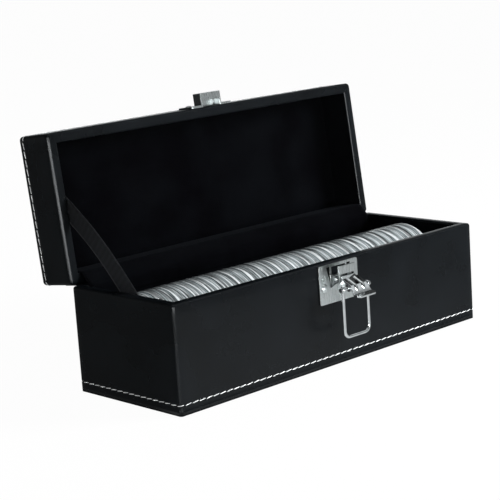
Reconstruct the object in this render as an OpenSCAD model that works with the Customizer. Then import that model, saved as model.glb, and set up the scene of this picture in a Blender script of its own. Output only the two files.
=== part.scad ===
// Hinged leatherette case that holds a row of round clear coin capsules, shown with its lid open.
// Origin: centre of the underside. +X runs along the length, the latch faces -Y and +Z is up.
// All sizes are in millimetres.

/* [Case] */
// Outside length, along X
case_length = 172.5; // [150:0.5:220]
// Outside depth, along Y
case_depth = 60; // [56:0.5:80]
// Height of the base, from the underside to its rim
base_height = 42.6; // [40:0.1:60]
// Height of the lid, from its rim to its top
lid_height = 19.6; // [15:0.1:35]
// Angle that the lid is opened to, where the ribbon stay holds it
lid_open_angle = 96.9; // [60:0.1:110]
// Gap between the two rims when the lid is shut
rim_gap = 0.2; // [0.1:0.05:0.6]
// Rounding of the upright edges
side_edge_r = 1.2; // [0.4:0.1:2]
// Rounding of the rims
rim_edge_r = 0.7; // [0.3:0.1:1.5]
// Rounding of the lid's top edges
lid_top_edge_r = 1.6; // [0.5:0.1:1.7]

/* [Layers] */
// Thickness of the leatherette skin with its thin padding
cover_t = 0.8; // [0.5:0.1:1.2]
// Thickness of the wall boards
board_t = 2.6; // [2:0.1:4]
// Thickness of the bottom board
bottom_board_t = 2.9; // [2:0.1:4]
// Thickness of the lid's top board
top_board_t = 2.6; // [2:0.1:4]
// Thickness of the velvet lining
lining_t = 0.8; // [0.4:0.1:1.2]
// Thickness of the sheet on the underside
underside_t = 0.6; // [0.4:0.1:1]

/* [Capsules] */
// Number of capsules in the row
capsule_count = 20; // [10:1:20]
// Outside diameter of a capsule
capsule_d = 37; // [30:0.5:38]
// Space left in the row after the last capsule
row_spare = 5; // [1:0.05:8]
// Gap between two neighbouring capsules
capsule_gap = 0.25; // [0.1:0.05:0.4]
// Gap between a capsule and what it is seated in
capsule_seat_gap = 0.3; // [0.2:0.05:0.6]
// Thickness of each capsule half's flat face
capsule_face_t = 1.2; // [0.8:0.1:1.6]
// Radial thickness of the capsule's rim
capsule_rim_t = 2.1; // [1.8:0.1:3]
// Depth of the recess in each face, inside the raised rim
capsule_recess = 0.4; // [0.2:0.1:0.8]
// Height of the spigot that one half pushes into the other
capsule_spigot_h = 1.1; // [0.8:0.1:1.6]
// Radial thickness of the spigot
capsule_spigot_t = 0.9; // [0.6:0.1:1.2]
// Radial clearance of the spigot in the other half
capsule_spigot_fit = 0.05; // [0.02:0.01:0.1]
// Gap between the two halves at their seam
capsule_seam_gap = 0.04; // [0.02:0.01:0.1]
// Small bevel on the capsule's outer edges
capsule_bevel = 0.5; // [0.2:0.1:0.8]
// Small bevel at the seam between the halves
capsule_seam_bevel = 0.25; // [0.1:0.05:0.5]

/* [Foam rails] */
// Height of the two foam rails above the floor lining
rail_height = 20; // [12:0.5:24]
// Distance between the feet of the two rails
rail_foot_gap = 16; // [10:0.5:20]
// Clearance of the rails to the walls
rail_gap = 0.3; // [0.1:0.05:0.6]

/* [Ribbon stay] */
// Width of the ribbon
stay_w = 8; // [6:0.5:14]
// Thickness of the ribbon
stay_t = 0.4; // [0.3:0.05:0.5]
// Clearance between the ribbon and the wall lining
stay_gap = 0.05; // [0.02:0.01:0.2]
// Place along Y of the ribbon's lower end
stay_base_y = -5; // [-10:0.5:0]
// Depth of the ribbon's lower end below the rim
stay_base_depth = 6.1; // [5:0.1:10]
// Distance from the hinge line of the ribbon's upper end, along the lid's rim
stay_lid_reach = 35; // [24:0.1:38]
// Depth of the ribbon's upper end inside the lid
stay_lid_depth = 7.4; // [5:0.1:9]
// Angle above the horizontal at which the ribbon leaves the base
stay_base_lean = 50; // [40:0.1:65]
// Length over which the ribbon keeps that direction
stay_base_pull = 20; // [16:0.1:26]
// Angle above the horizontal at which the ribbon reaches the lid
stay_lid_lean = 30; // [10:0.1:40]
// Length over which the ribbon takes up that direction
stay_lid_pull = 20; // [16:0.1:26]

/* [Hinge cloth] */
// Thickness of the outer hinge strip
strip_t = 0.5; // [0.3:0.1:0.8]
// Height of each glued leg of the outer hinge strip
strip_leg = 8; // [6:0.5:12]
// Distance from the fold at which the strip's leg on the lid starts
strip_fold = 0.12; // [0.1:0.02:0.3]
// Distance of the outer strip's ends from the case's ends
strip_inset = 3; // [1.5:0.5:8]
// Thickness of the inner hinge cloth
hinge_cloth_t = 0.3; // [0.2:0.05:0.5]
// Height of each glued leg of the inner hinge cloth
hinge_cloth_leg = 6; // [4:0.5:8]
// Clearance of the inner hinge cloth to the linings and rims
hinge_cloth_gap = 0.1; // [0.05:0.05:0.3]
// Distance of the inner hinge cloth's ends from the end walls
hinge_cloth_inset = 1; // [0.5:0.1:3]

/* [Latch plate] */
// Place of the latch's centre along X
latch_x = 0.65; // [-5:0.05:5]
// Width of the latch plate
latch_plate_w = 22.4; // [21:0.1:26]
// Height of the latch plate
latch_plate_h = 15.9; // [15:0.1:18]
// Thickness of the latch's sheet metal
latch_sheet_t = 0.8; // [0.6:0.1:1]
// Distance of the plate's top below the rim
latch_drop = 0.7; // [0.3:0.1:2]
// Rounding of the plate's corners
latch_corner_r = 0.8; // [0.4:0.1:2]
// Width of the hood over the lever's pivot
hood_w = 9.6; // [9:0.1:10.5]
// Distance of the hood's front face from the case's front
hood_reach = 5.6; // [5.4:0.1:6.5]
// Height of the hood's front panel
hood_h = 3.4; // [2.6:0.1:3.6]
// Distance of the hood's top below the plate's top
hood_drop = 0.5; // [0.3:0.1:1.2]
// Distance of the lever's pivot below the plate's top
pivot_drop = 5.9; // [5.9:0.1:6.6]
// Distance of the lever's pivot from the case's front
pivot_reach = 3.9; // [3.9:0.1:4.2]
// Radius of the lever's pivot pin
pivot_pin_r = 0.75; // [0.6:0.05:0.85]
// Length that the pivot pin stands out of each ear
pivot_pin_proud = 0.3; // [0.1:0.1:0.6]
// Radius of the ear round the pivot pin
ear_r = 1.7; // [1.4:0.1:1.7]
// Height of the ear's root on the plate below the ear's round end
ear_foot = 2.5; // [1:0.1:3]
// Distance of the window behind the hood from the plate's top
window_drop = 1.2; // [1:0.1:2]
// Height of the window behind the hood
window_h = 3.6; // [2:0.1:3.8]
// Radial running clearance of the pins
pin_fit = 0.05; // [0.03:0.01:0.1]
// Distance of the slot beside each ear from that ear
slot_gap = 0.15; // [0.1:0.05:0.5]
// Height of the slot, which narrows downward
slot_h = 5.9; // [4:0.1:6]
// Width of the slot at its top
slot_top_w = 2; // [0.8:0.1:2.4]
// Width of the slot at its bottom
slot_bottom_w = 0.3; // [0.2:0.1:0.6]
// Distance of the slot's top below the plate's top
slot_drop = 1; // [0.6:0.1:2]
// Distance of each latch rivet from the latch's centre
latch_rivet_x = 8.4; // [8.2:0.1:9]
// Distance of the latch rivets below the plate's top
latch_rivet_drop = 9.3; // [9:0.1:10]
// Radius of a rivet's head
rivet_head_r = 1.9; // [1.5:0.1:2]
// Height of a rivet's head
rivet_head_h = 1.1; // [0.6:0.1:1.2]
// Radius of a rivet's shank
rivet_shank_r = 0.8; // [0.6:0.1:1]
// Radial gap of a rivet's shank in its hole
rivet_hole_gap = 0.02; // [0.01:0.01:0.05]

/* [Lever] */
// Angle of the lever's face below the horizontal, as it stands open
lever_angle = 27; // [20:1:40]
// Distance of the lever's outer face from its pivot
lever_face_n = 1.9; // [1.8:0.05:1.95]
// Thickness of the lever's sheet
lever_t = 0.8; // [0.6:0.1:0.9]
// Distance from the pivot at which the lever's sheet starts
lever_start_s = 0.8; // [0.4:0.1:1.2]
// Length of the lever's flat part, from the pivot
lever_flat_s = 7.4; // [6.6:0.1:9]
// Length of the lever's inward bend
lever_bend_len = 3.8; // [2.5:0.1:4]
// Angle of the inward bend
lever_bend_angle = 30; // [15:1:35]
// Length of the lip at the lever's end
lever_lip_len = 3.4; // [2:0.1:4]
// Angle that the lip flares outward
lever_lip_angle = 17; // [5:1:25]
// Width of the lever below the hood
lever_w = 9; // [8.4:0.1:9.6]
// Distance from the pivot at which the lever takes that width
lever_wide_s = 2.4; // [2.2:0.1:3]
// Width of the lever's lip
lever_lip_w = 10.6; // [9.6:0.1:11.4]
// Corner cut of the lip
lip_corner = 1.2; // [0.3:0.1:2]
// Distance past the bend at which the lip takes its full width
lip_flare = 0.4; // [0.2:0.1:1]
// Thickness of the lever's two side flanges
flange_t = 0.7; // [0.5:0.05:0.9]
// Radius of a flange round the pivot
flange_pivot_r = 1.5; // [1.2:0.1:1.5]
// Radius of a flange round the bail's pin
flange_bail_r = 1.4; // [1.1:0.1:1.4]
// Sideways clearance of the lever between the ears
lever_side_gap = 0.15; // [0.1:0.05:0.3]
// Distance of the bail pin from the pivot, along the lever
bail_pin_s = 6.3; // [5.8:0.1:6.6]
// Distance of the bail pin from the pivot, square to the lever
bail_pin_n = -0.36; // [-0.6:0.02:0]
// Radius of each of the two raised ridges
ridge_r = 0.9; // [0.6:0.1:1.1]
// Height of the ridges above the lever's face
ridge_h = 0.45; // [0.2:0.05:0.6]
// Distance of each ridge from the lever's centre
ridge_x = 2; // [1.6:0.1:2.4]
// Distance of the ridges' upper ends from the pivot
ridge_start_s = 3; // [2.6:0.1:4]

/* [Bail] */
// Radius of the bail's wire
wire_r = 0.7; // [0.5:0.05:0.75]
// Distance of each leg's centre from the latch's centre
bail_leg_x = 7.1; // [6.8:0.1:7.5]
// Length of the bail, from its pin to the middle of its crossbar
bail_length = 19.4; // [19.3:0.1:22]
// Bend radius of the bail's lower corners
bail_corner_r = 2.6; // [1.5:0.1:3.5]
// Radius of the bail's pin
bail_pin_r = 0.6; // [0.5:0.05:0.7]
// Radius of the eye at each end of the bail
bail_eye_r = 1.45; // [1.3:0.05:1.5]
// Radius of the bail pin's heads
bail_pin_head_r = 1; // [0.9:0.1:1.2]
// Thickness of the bail pin's heads
bail_pin_head_t = 0.5; // [0.3:0.1:0.8]

/* [Keeper] */
// Thickness of the keeper's plate
keeper_t = 1; // [0.6:0.1:1.2]
// Width of the keeper's plate
keeper_w = 22.3; // [21:0.1:26]
// Height of the keeper's plate, away from the lid's rim
keeper_h = 8.7; // [7:0.1:11]
// Distance of the keeper's edge from the lid's rim
keeper_gap = 0.2; // [0.1:0.1:0.4]
// Width of the raised hump that the bail hooks over
hump_w = 11.3; // [10:0.1:11.4]
// Height of the hump, away from the lid's rim
hump_h = 4.8; // [4:0.1:4.8]
// Distance of the hump's outer face from the case's front
hump_reach = 6; // [4:0.1:7]
// Thickness of the hump's walls
hump_wall = 0.9; // [0.6:0.1:1.2]
// Height of the hump's panel on the rim side, from its outer face
hump_panel_h = 3.1; // [2:0.1:4]
// Distance of each keeper rivet from the latch's centre
keeper_rivet_x = 8.6; // [8:0.1:9]
// Distance of the keeper's rivets from its edge at the rim
keeper_rivet_up = 5.2; // [2.5:0.1:6.5]
// Radius of a keeper rivet's head
keeper_rivet_head_r = 1.5; // [1.2:0.1:1.8]
// Height of a keeper rivet's head
keeper_rivet_head_h = 0.5; // [0.3:0.1:0.8]

/* [Hidden] */
function capsule_name(i) = str("capsule_", i < 10 ? "0" : "", i);

$fn = 48;
large_round_fn = 96;
// How far a cut runs past the face that it opens
cut_past = 1;

leatherette = [0.11, 0.12, 0.13];
board_brown = [0.62, 0.48, 0.33];
velvet = [0.05, 0.05, 0.06];
foam_black = [0.09, 0.09, 0.1];
ribbon_grey = [0.16, 0.16, 0.18];
satin_nickel = [0.72, 0.73, 0.73];
bright_chrome = [0.86, 0.87, 0.88];
clear_plastic = [0.85, 0.88, 0.9, 0.45];

// The layers of a wall, from the outside to the inside
wall_t = cover_t + board_t + lining_t;
shell_x = case_length / 2 - cover_t;
shell_y = case_depth / 2 - cover_t;
board_in_x = shell_x - board_t;
board_in_y = shell_y - board_t;
inner_x = case_length / 2 - wall_t;
inner_y = case_depth / 2 - wall_t;

// Heights in the base
bottom_board_top = underside_t + bottom_board_t;
floor_top = bottom_board_top + lining_t;
base_board_top = base_height - cover_t;

// Heights in the shut lid
lid_rim_z = base_height + rim_gap;
lid_top_z = lid_rim_z + lid_height;
lid_board_bottom = lid_rim_z + cover_t;
top_board_top = lid_top_z - cover_t;
top_board_bottom = top_board_top - top_board_t;
lid_ceiling = top_board_bottom - lining_t;

// The fold that the lid turns about lies on the outer back edge, midway between the rims
hinge_y = case_depth / 2;
hinge_z = base_height + rim_gap / 2;

// Places in the row of capsules
capsule_r = capsule_d / 2;
capsule_axis_z = floor_top + capsule_seat_gap + capsule_r;
row_start_x = -inner_x + stay_gap + stay_t + capsule_seat_gap;
row_length = inner_x - row_spare - row_start_x;
capsule_pitch = row_length / capsule_count;
capsule_t = capsule_pitch - capsule_gap;
capsule_half_t = (capsule_t - capsule_seam_gap) / 2;
capsule_hollow_r = capsule_r - capsule_rim_t;
capsule_spigot_r = capsule_hollow_r + capsule_spigot_t;

// Places on the latch
front_y = -case_depth / 2;
plate_top = base_height - latch_drop;
plate_bottom = plate_top - latch_plate_h;
plate_front_y = front_y - latch_sheet_t;
hood_top = plate_top - hood_drop;
hood_front_y = front_y - hood_reach;
pivot_y = front_y - pivot_reach;
pivot_z = plate_top - pivot_drop;
ear_in_x = hood_w / 2 - latch_sheet_t;
latch_rivet_z = plate_top - latch_rivet_drop;
rivet_tail_y = front_y + cover_t + board_t;

// Places on the lever, as distances along it and square to it from its pivot
flange_out_x = ear_in_x - lever_side_gap;
lever_mid_n = lever_face_n - lever_t / 2;
bend_end = [lever_flat_s + lever_bend_len * cos(lever_bend_angle),
            lever_mid_n - lever_bend_len * sin(lever_bend_angle)];
lip_end = [bend_end[0] + lever_lip_len * cos(lever_lip_angle),
           bend_end[1] + lever_lip_len * sin(lever_lip_angle)];

// Where the open lever carries the bail pin
bail_y = pivot_y - bail_pin_s * cos(lever_angle) - bail_pin_n * sin(lever_angle);
bail_z = pivot_z - bail_pin_s * sin(lever_angle) + bail_pin_n * cos(lever_angle);
bail_head_x = bail_leg_x + wire_r + pin_fit;

// Places on the keeper, with the lid shut
keeper_bottom = lid_rim_z + keeper_gap;
keeper_front_y = front_y - keeper_t;
keeper_rivet_z = keeper_bottom + keeper_rivet_up;

// A point of the lid's section, reach along the rim from the fold and depth into the lid, as it stands open
function lid_point(reach, depth) = [
  hinge_y - reach * cos(lid_open_angle) + depth * sin(lid_open_angle),
  hinge_z + reach * sin(lid_open_angle) + depth * cos(lid_open_angle)
];

// The outline of a band of width w along a path of [y, z] points
function unit(v) = v / norm(v);
function along(path, i) = unit(path[min(i + 1, len(path) - 1)] - path[max(i - 1, 0)]);
function beside(path, i, d) = path[i] + d * [-along(path, i)[1], along(path, i)[0]];
function band(path, w) = concat(
  [for (i = [0:len(path) - 1]) beside(path, i, w / 2)],
  [for (i = [len(path) - 1:-1:0]) beside(path, i, -w / 2)]
);

// A point of a cubic curve with four control points
function curve_point(c, t) =
  pow(1 - t, 3) * c[0] + 3 * t * pow(1 - t, 2) * c[1] + 3 * t * t * (1 - t) * c[2] + pow(t, 3) * c[3];

// A rectangle centred on the origin with rounded corners
module rounded_rect(w, d, r) {
  square([w - 2 * r, d], center = true);
  square([w, d - 2 * r], center = true);
  for (x = [-1, 1], y = [-1, 1]) {
    translate([x * (w / 2 - r), y * (d / 2 - r)]) circle(r);
  }
}

// A rectangle standing on the X axis with its two top corners rounded
module top_rounded(w, h, r) {
  translate([-w / 2, 0]) square([w, h - r]);
  translate([-w / 2 + r, 0]) square([w - 2 * r, h]);
  for (x = [-1, 1]) {
    translate([x * (w / 2 - r), h - r]) circle(r);
  }
}

// A block standing on the XY plane with rounded upright edges and rounded top edges
module rounded_block(w, d, h, r_side, r_top) {
  intersection() {
    linear_extrude(h) rounded_rect(w, d, r_side);
    rotate([90, 0, 90]) linear_extrude(w, center = true) top_rounded(d, h, r_top);
    rotate([90, 0, 0]) linear_extrude(d, center = true) top_rounded(w, h, r_top);
  }
}

// A block given by its low and high corners
module block(low, high) {
  translate(low) cube(high - low);
}

// A shape drawn in Y and Z and pushed along X between two places
module across_x(x_low, x_high) {
  translate([x_low, 0, 0]) rotate([90, 0, 90]) linear_extrude(x_high - x_low) children();
}

// A cylinder along X between two places
module rod_x(x_low, x_high, y, z, r) {
  translate([x_low, y, z]) rotate([0, 90, 0]) cylinder(r = r, h = x_high - x_low);
}

// A cylinder along Y between two places
module rod_y(x, y_low, y_high, z, r) {
  translate([x, y_high, z]) rotate([90, 0, 0]) cylinder(r = r, h = y_high - y_low);
}

// Turns what is drawn for the shut lid to where the open lid stands
module opened() {
  translate([0, hinge_y, hinge_z]) rotate([-lid_open_angle, 0, 0])
    translate([0, -hinge_y, -hinge_z]) children();
}

// The two rivet shanks of the latch, wider by a gap where they are used as holes
module latch_rivet_shanks(gap = 0) {
  for (x = [-latch_rivet_x, latch_rivet_x]) {
    rod_y(latch_x + x, plate_front_y - gap, rivet_tail_y + gap, latch_rivet_z, rivet_shank_r + gap);
  }
}

// The two rivet shanks of the keeper, with the lid shut
module keeper_rivet_shanks(gap = 0) {
  for (x = [-keeper_rivet_x, keeper_rivet_x]) {
    rod_y(latch_x + x, keeper_front_y - gap, rivet_tail_y + gap, keeper_rivet_z, rivet_shank_r + gap);
  }
}

module base_bottom_board() {
  color(board_brown)
    block([-shell_x, -shell_y, underside_t], [shell_x, shell_y, bottom_board_top]);
}

module base_front_board() {
  color(board_brown) difference() {
    block([-shell_x, -shell_y, bottom_board_top], [shell_x, -board_in_y, base_board_top]);
    latch_rivet_shanks(rivet_hole_gap);
  }
}

module base_back_board() {
  color(board_brown)
    block([-shell_x, board_in_y, bottom_board_top], [shell_x, shell_y, base_board_top]);
}

module base_left_board() {
  color(board_brown)
    block([-shell_x, -board_in_y, bottom_board_top], [-board_in_x, board_in_y, base_board_top]);
}

module base_right_board() {
  color(board_brown)
    block([board_in_x, -board_in_y, bottom_board_top], [shell_x, board_in_y, base_board_top]);
}

// The outer skin of the base, folded over the rim
module base_cover() {
  color(leatherette) difference() {
    translate([0, 0, underside_t])
      rounded_block(case_length, case_depth, base_height - underside_t, side_edge_r, rim_edge_r);
    block([-shell_x, -shell_y, -cut_past], [shell_x, shell_y, base_board_top]);
    block([-inner_x, -inner_y, -cut_past], [inner_x, inner_y, base_height + cut_past]);
    latch_rivet_shanks(rivet_hole_gap);
  }
}

module base_underside() {
  color(leatherette) linear_extrude(underside_t) rounded_rect(case_length, case_depth, side_edge_r);
}

module base_wall_lining() {
  color(velvet) difference() {
    block([-board_in_x, -board_in_y, bottom_board_top], [board_in_x, board_in_y, base_board_top]);
    block([-inner_x, -inner_y, 0], [inner_x, inner_y, base_height]);
  }
}

module base_floor_lining() {
  color(velvet) block([-inner_x, -inner_y, bottom_board_top], [inner_x, inner_y, floor_top]);
}

// A rail of covered foam with a hollow face that the capsules rest in
module foam_rail(side) {
  rail_out_y = inner_y - rail_gap;
  rail_end_x = inner_x - rail_gap;
  color(foam_black) difference() {
    block([-rail_end_x, side > 0 ? rail_foot_gap / 2 : -rail_out_y, floor_top],
          [rail_end_x, side > 0 ? rail_out_y : -rail_foot_gap / 2, floor_top + rail_height]);
    rod_x(-rail_end_x - cut_past, rail_end_x + cut_past, 0, capsule_axis_z, capsule_r + capsule_seat_gap);
  }
}

module foam_rail_front() {
  foam_rail(-1);
}

module foam_rail_back() {
  foam_rail(1);
}

// One stamped sheet: the plate, its two ears and the hood panel between them
module latch_plate() {
  color(satin_nickel) difference() {
    union() {
      translate([latch_x, front_y, (plate_top + plate_bottom) / 2]) rotate([90, 0, 0])
        linear_extrude(latch_sheet_t) rounded_rect(latch_plate_w, latch_plate_h, latch_corner_r);
      for (side = [-1, 1]) {
        ear_mid_x = latch_x + side * (hood_w / 2 - latch_sheet_t / 2);
        across_x(ear_mid_x - latch_sheet_t / 2, ear_mid_x + latch_sheet_t / 2) ear_outline();
      }
      block([latch_x - hood_w / 2, hood_front_y, hood_top - hood_h],
            [latch_x + hood_w / 2, hood_front_y + latch_sheet_t, hood_top]);
    }
    rod_x(latch_x - hood_w, latch_x + hood_w, pivot_y, pivot_z, pivot_pin_r);
    latch_rivet_shanks(rivet_hole_gap);
    for (side = [0, 1]) {
      translate([latch_x, front_y + cut_past, plate_top - slot_drop]) mirror([side, 0, 0])
        rotate([90, 0, 0]) linear_extrude(latch_sheet_t + 2 * cut_past) slot_outline();
    }
    block([latch_x - ear_in_x, front_y - latch_sheet_t - cut_past, plate_top - window_drop - window_h],
          [latch_x + ear_in_x, front_y + cut_past, plate_top - window_drop]);
  }
}

// The front view of the slot beside an ear, hanging from its top
module slot_outline() {
  slot_in_x = hood_w / 2 + slot_gap;
  polygon([
    [slot_in_x, 0],
    [slot_in_x + slot_top_w, 0],
    [slot_in_x + slot_bottom_w, -slot_h],
    [slot_in_x, -slot_h]
  ]);
}

// The side view of an ear: it leaves the plate, carries the pivot and turns up in front to the hood
module ear_outline() {
  polygon([
    [front_y - latch_sheet_t / 2, pivot_z + ear_r],
    [hood_front_y + latch_sheet_t, pivot_z + ear_r],
    [hood_front_y + latch_sheet_t, hood_top],
    [hood_front_y, hood_top],
    [hood_front_y, pivot_z],
    [pivot_y, pivot_z - ear_r],
    [front_y - latch_sheet_t / 2, pivot_z - ear_r - ear_foot]
  ]);
  translate([pivot_y, pivot_z]) circle(ear_r);
}

// Two domed rivets that hold the latch plate on the front board
module latch_rivets() {
  color(satin_nickel) for (x = [-latch_rivet_x, latch_rivet_x]) {
    rod_y(latch_x + x, plate_front_y - rivet_head_h / 2, rivet_tail_y, latch_rivet_z, rivet_shank_r);
    translate([latch_x + x, plate_front_y, latch_rivet_z]) rotate([90, 0, 0])
      dome(rivet_head_r, rivet_head_h);
  }
}

// A rivet's head: a slice of a sphere, standing on the XY plane
module dome(r, h) {
  ball_r = (r * r + h * h) / (2 * h);
  rotate_extrude() intersection() {
    translate([0, h - ball_r]) circle(ball_r, $fn = large_round_fn);
    square([r, h]);
  }
}

module latch_pivot_pin() {
  pin_end_x = hood_w / 2 + pivot_pin_proud;
  color(bright_chrome) rod_x(latch_x - pin_end_x, latch_x + pin_end_x, pivot_y, pivot_z, pivot_pin_r);
}

// Turns a shape drawn along the lever, and square to it, to where the open lever stands
module on_lever() {
  translate([0, pivot_y, pivot_z]) rotate([lever_angle, 0, 0]) rotate([0, 0, 180]) children();
}

// The side view of the lever's sheet: the flat, the inward bend and the flared lip
module lever_outline() {
  path = [[lever_start_s, lever_mid_n], [lever_flat_s, lever_mid_n], bend_end, lip_end];
  polygon(band(path, lever_t));
}

// The front view of the lever's sheet: narrow between the ears and wide at the lip
module lever_plan() {
  lip_side = lever_lip_w / 2;
  half = [
    [flange_out_x, lever_start_s - cut_past],
    [flange_out_x, lever_wide_s],
    [lever_w / 2, lever_wide_s],
    [lever_w / 2, lever_flat_s],
    [lip_side, bend_end[0] + lip_flare],
    [lip_side, lip_end[0] - lip_corner],
    [lip_side - lip_corner, lip_end[0]]
  ];
  polygon(concat(half, [for (i = [len(half) - 1:-1:0]) [-half[i][0], half[i][1]]]));
}

// One of the lever's two side flanges, which carry both pins
module flange_outline() {
  polygon([
    [0, lever_mid_n],
    [lever_flat_s, lever_mid_n],
    [bail_pin_s + flange_bail_r, bail_pin_n],
    [bail_pin_s, bail_pin_n - flange_bail_r],
    [0, -flange_pivot_r]
  ]);
  circle(flange_pivot_r);
  translate([bail_pin_s, bail_pin_n]) circle(flange_bail_r);
}

module latch_lever() {
  color(bright_chrome) translate([latch_x, 0, 0]) on_lever() difference() {
    union() {
      intersection() {
        across_x(-lever_lip_w, lever_lip_w) lever_outline();
        translate([0, 0, -lever_lip_w]) linear_extrude(2 * lever_lip_w) lever_plan();
      }
      for (side = [-1, 1]) {
        flange_mid_x = side * (flange_out_x - flange_t / 2);
        across_x(flange_mid_x - flange_t / 2, flange_mid_x + flange_t / 2) flange_outline();
      }
      for (side = [-1, 1]) {
        intersection() {
          translate([side * ridge_x, ridge_start_s, lever_face_n + ridge_h - ridge_r])
            rotate([-90, 0, 0]) cylinder(r = ridge_r, h = lever_flat_s - ridge_start_s);
          block([-lever_w, ridge_start_s, lever_mid_n],
                [lever_w, lever_flat_s, lever_face_n + ridge_h]);
        }
      }
    }
    rod_x(-lever_w, lever_w, 0, 0, pivot_pin_r + pin_fit);
    rod_x(-lever_w, lever_w, bail_pin_s, bail_pin_n, bail_pin_r + pin_fit);
  }
}

// The pin through the lever that the bail's two eyes turn on, with a head at each end
module bail_pin() {
  color(bright_chrome) {
    rod_x(latch_x - bail_head_x - bail_pin_head_t, latch_x + bail_head_x + bail_pin_head_t,
          bail_y, bail_z, bail_pin_r);
    for (side = [-1, 1]) {
      mid_x = latch_x + side * (bail_head_x + bail_pin_head_t / 2);
      rod_x(mid_x - bail_pin_head_t / 2, mid_x + bail_pin_head_t / 2, bail_y, bail_z, bail_pin_head_r);
    }
  }
}

// The wire loop, hanging straight down from its pin
module bail() {
  crossbar_z = bail_z - bail_length;
  color(bright_chrome) translate([latch_x, bail_y, 0]) {
    for (side = [-1, 1]) {
      leg_x = side * bail_leg_x;
      difference() {
        union() {
          rod_x(leg_x - wire_r, leg_x + wire_r, 0, bail_z, bail_eye_r);
          translate([leg_x, 0, crossbar_z + bail_corner_r])
            cylinder(r = wire_r, h = bail_length - bail_corner_r);
        }
        rod_x(leg_x - 2 * wire_r, leg_x + 2 * wire_r, 0, bail_z, bail_pin_r + pin_fit);
      }
      translate([side * (bail_leg_x - bail_corner_r), 0, crossbar_z + bail_corner_r])
        rotate([90, side > 0 ? 90 : 180, 0])
          rotate_extrude(angle = 90) translate([bail_corner_r, 0]) circle(wire_r);
    }
    rod_x(-bail_leg_x + bail_corner_r, bail_leg_x - bail_corner_r, 0, crossbar_z, wire_r);
  }
}

// The leatherette strip glued over the fold, on the back of the base and of the lid
module hinge_strip() {
  strip_x = case_length / 2 - strip_inset;
  color(leatherette) {
    block([-strip_x, hinge_y, hinge_z - strip_leg], [strip_x, hinge_y + strip_t, hinge_z - rim_gap / 2]);
    opened()
      block([-strip_x, hinge_y, hinge_z + strip_fold], [strip_x, hinge_y + strip_t, hinge_z + strip_leg]);
  }
}

// The cloth inside the fold, from the base's back lining across the open rims to the lid's back lining
module hinge_cloth() {
  cloth_x = inner_x - hinge_cloth_inset;
  cloth_reach = wall_t + hinge_cloth_gap + hinge_cloth_t / 2;
  path = [
    [hinge_y - cloth_reach, base_height - hinge_cloth_leg],
    [hinge_y - cloth_reach, base_height + hinge_cloth_gap + hinge_cloth_t],
    lid_point(cloth_reach, -hinge_cloth_gap - hinge_cloth_t),
    lid_point(cloth_reach, hinge_cloth_leg)
  ];
  color(velvet) across_x(-cloth_x, cloth_x) polygon(band(path, hinge_cloth_t));
}

// The ribbon that stops the lid, flat against the left walls of the base and the lid
module lid_stay() {
  start = [stay_base_y, base_height - stay_base_depth];
  end = lid_point(stay_lid_reach, stay_lid_depth);
  leave = stay_base_pull * [cos(stay_base_lean), sin(stay_base_lean)];
  arrive = stay_lid_pull * [cos(stay_lid_lean), sin(stay_lid_lean)];
  control = [start, start + leave, end - arrive, end];
  steps = 12;
  path = [for (i = [0:steps]) curve_point(control, i / steps)];
  color(ribbon_grey)
    across_x(-inner_x + stay_gap, -inner_x + stay_gap + stay_t) polygon(band(path, stay_w));
}

module lid_top_board() {
  color(board_brown) opened()
    block([-shell_x, -shell_y, top_board_bottom], [shell_x, shell_y, top_board_top]);
}

module lid_front_board() {
  color(board_brown) opened() difference() {
    block([-shell_x, -shell_y, lid_board_bottom], [shell_x, -board_in_y, top_board_bottom]);
    keeper_rivet_shanks(rivet_hole_gap);
  }
}

module lid_back_board() {
  color(board_brown) opened()
    block([-shell_x, board_in_y, lid_board_bottom], [shell_x, shell_y, top_board_bottom]);
}

module lid_left_board() {
  color(board_brown) opened()
    block([-shell_x, -board_in_y, lid_board_bottom], [-board_in_x, board_in_y, top_board_bottom]);
}

module lid_right_board() {
  color(board_brown) opened()
    block([board_in_x, -board_in_y, lid_board_bottom], [shell_x, board_in_y, top_board_bottom]);
}

// The outer skin of the lid, over its top and sides and folded over the rim
module lid_cover() {
  color(leatherette) opened() difference() {
    intersection() {
      translate([0, 0, lid_rim_z])
        rounded_block(case_length, case_depth, lid_height, side_edge_r, lid_top_edge_r);
      translate([0, 0, lid_top_z]) mirror([0, 0, 1])
        rounded_block(case_length, case_depth, lid_height, side_edge_r, rim_edge_r);
    }
    block([-shell_x, -shell_y, lid_board_bottom], [shell_x, shell_y, top_board_top]);
    block([-inner_x, -inner_y, lid_rim_z - cut_past], [inner_x, inner_y, top_board_top]);
    keeper_rivet_shanks(rivet_hole_gap);
  }
}

module lid_wall_lining() {
  color(velvet) opened() difference() {
    block([-board_in_x, -board_in_y, lid_board_bottom], [board_in_x, board_in_y, top_board_bottom]);
    block([-inner_x, -inner_y, lid_rim_z], [inner_x, inner_y, lid_top_z]);
  }
}

module lid_top_lining() {
  color(velvet) opened()
    block([-inner_x, -inner_y, lid_ceiling], [inner_x, inner_y, top_board_bottom]);
}

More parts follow.
